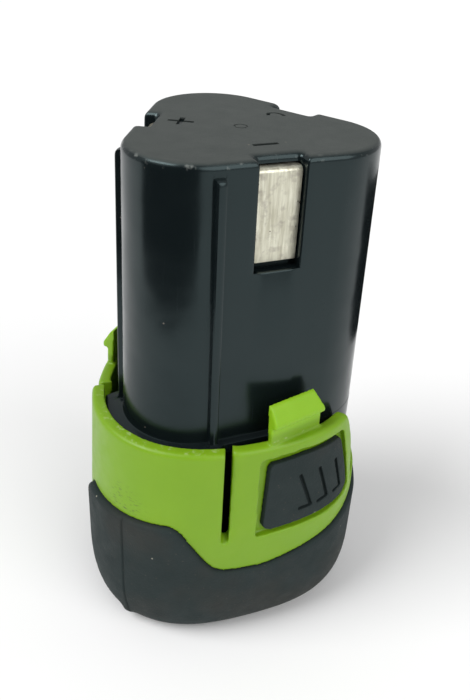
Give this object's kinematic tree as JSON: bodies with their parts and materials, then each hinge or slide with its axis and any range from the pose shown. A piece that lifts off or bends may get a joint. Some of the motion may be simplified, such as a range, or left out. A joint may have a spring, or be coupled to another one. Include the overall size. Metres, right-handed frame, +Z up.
{
  "type": "cordless drill battery pack",
  "caption": "Slide-in lithium battery pack for a cordless drill: three-lobed cell tower with terminal slots, collar with sprung side latches, and a rounded base.",
  "frame": {"origin": "on the underside of the base, on the axis of the three-lobed tower", "axes": "+Z up along the tower towards the terminal end; -Y towards the front lobe, which carries the two ribs; X = 0 is the mirror plane, with one latch on each side"},
  "size_m": [0.0512, 0.0476, 0.085],
  "materials": {
    "housing_black": "semi-gloss",
    "collar_green": "satin",
    "soft_black": "matte",
    "contact_metal": "tin plated",
    "cell_wrap": "sleeved in thin blue film",
    "nickel": "plated",
    "screw_steel": "zinc plated",
    "paper": "matte",
    "carrier_grey": "matte",
    "board_green": "solder mask",
    "chip_black": "matte",
    "foam_black": "foam",
    "wire_black": "satin",
    "wire_red": "satin",
    "wire_yellow": "satin",
    "wire_white": "satin"
  },
  "bodies": {
    "pack_body": {"tower_housing": "housing_black", "collar_ring": "collar_green", "base_cup": "soft_black", "contact_negative": "contact_metal", "contact_positive": "contact_metal", "contact_signal": "contact_metal", "cell_1_can": "cell_wrap", "cell_2_can": "cell_wrap", "cell_3_can": "cell_wrap", "cell_1_positive_cap": "nickel", "cell_2_positive_cap": "nickel", "cell_3_positive_cap": "nickel", "strip_series_top": "nickel", "strip_pack_positive": "nickel", "strip_series_bottom": "nickel", "strip_pack_negative": "nickel", "lead_battery_negative": "nickel", "capacitor_1": "nickel", "capacitor_2": "nickel", "case_screw_1": "screw_steel", "case_screw_2": "screw_steel", "case_screw_3": "screw_steel", "cell_1_insulator_ring": "paper", "cell_2_insulator_ring": "paper", "cell_3_insulator_ring": "paper", "cell_carrier": "carrier_grey", "protection_board": "board_green", "mosfet_charge": "chip_black", "mosfet_discharge": "chip_black", "controller_chip": "chip_black", "current_shunt": "chip_black", "thermistor": "chip_black", "foam_pad_top": "foam_black", "wire_negative": "wire_black", "wire_positive": "wire_red", "wire_signal": "wire_yellow", "wire_sense_1": "wire_white", "wire_sense_2": "wire_white"},
    "latch_right": {"latch_arm_right": "collar_green", "grip_pad_right": "soft_black"},
    "latch_left": {"latch_arm_left": "collar_green", "grip_pad_left": "soft_black"}
  },
  "joints": [
    {"name": "latch_right_press", "type": "hinge", "parent": "pack_body", "child": "latch_right", "pos_m": [0.02228, -0.00647, 0.0224], "axis": [-0.279, -0.9603, 0], "range_deg": [0, 2.5], "stiffness_Nm_per_rad": 6},
    {"name": "latch_left_press", "type": "hinge", "parent": "pack_body", "child": "latch_left", "pos_m": [-0.02228, -0.00647, 0.0224], "axis": [-0.279, 0.9603, 0], "range_deg": [0, 2.5], "stiffness_Nm_per_rad": 6}
  ]
}
